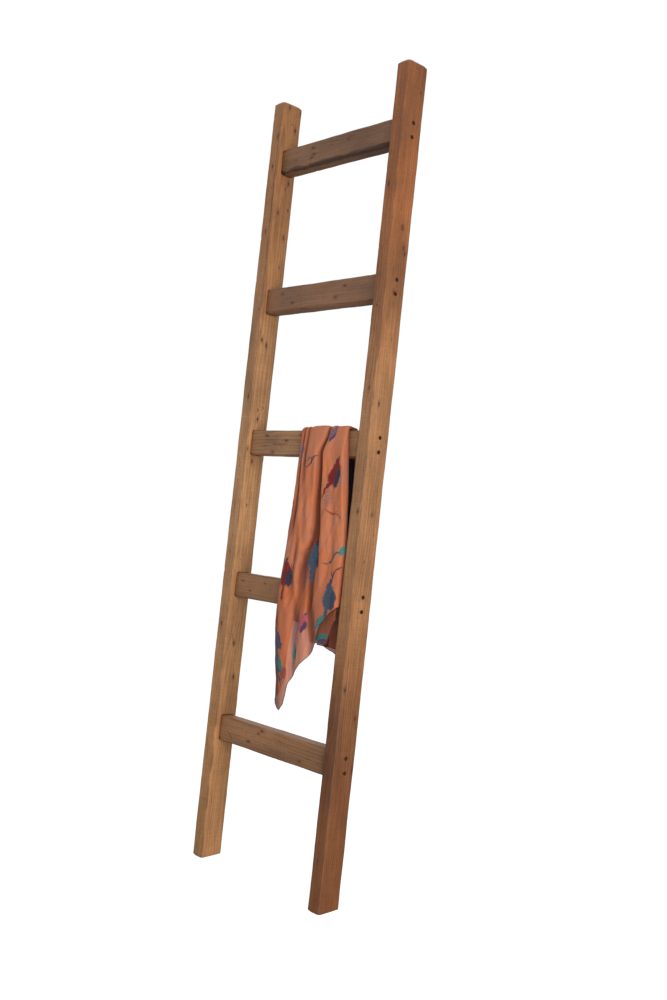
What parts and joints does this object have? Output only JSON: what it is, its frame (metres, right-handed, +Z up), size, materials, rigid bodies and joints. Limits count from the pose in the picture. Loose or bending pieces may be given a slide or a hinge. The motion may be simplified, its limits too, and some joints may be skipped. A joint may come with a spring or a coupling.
{
  "type": "ladder rack with draped scarf",
  "caption": "Leaning wooden ladder rack of screwed reclaimed battens, with a sheer printed scarf draped over its middle rung and free to slide along it.",
  "frame": {"origin": "the line where the wall meets the floor, midway between the rails: the floor is z = 0 and the wall is y = 0", "axes": "+Z up, +Y into the wall, +X to the right as seen from the room"},
  "size_m": [0.5, 0.2786, 1.9883],
  "materials": {
    "rail_pine": "reclaimed pine batten, waxed, orange-brown with worn edges",
    "rung_pine": "reclaimed pine batten, greyed olive brown",
    "rung_pine_dark": "reclaimed pine batten, dark stained brown",
    "screw_steel": "dark blackened steel",
    "scarf_voile": "sheer coral voile with a printed pattern of small birds and twigs",
    "hem_thread": "dark rolled and overlocked hem"
  },
  "bodies": {
    "ladder": {"left_rail": "rail_pine", "right_rail": "rail_pine", "rung_1": "rung_pine", "rung_2": "rung_pine", "rung_3": "rung_pine", "rung_4": "rung_pine_dark", "rung_5": "rung_pine_dark", "screws_rung_1_left": "screw_steel", "screws_rung_2_left": "screw_steel", "screws_rung_3_left": "screw_steel", "screws_rung_4_left": "screw_steel", "screws_rung_5_left": "screw_steel", "screws_rung_1_right": "screw_steel", "screws_rung_2_right": "screw_steel", "screws_rung_3_right": "screw_steel", "screws_rung_4_right": "screw_steel", "screws_rung_5_right": "screw_steel"},
    "scarf": {"scarf": "scarf_voile", "front_hem": "hem_thread", "back_hem": "hem_thread"}
  },
  "joints": [
    {"name": "scarf_slide", "type": "slide", "parent": "ladder", "child": "scarf", "axis": [1, 0, 0], "range_m": [-0.18, 0.006]}
  ]
}
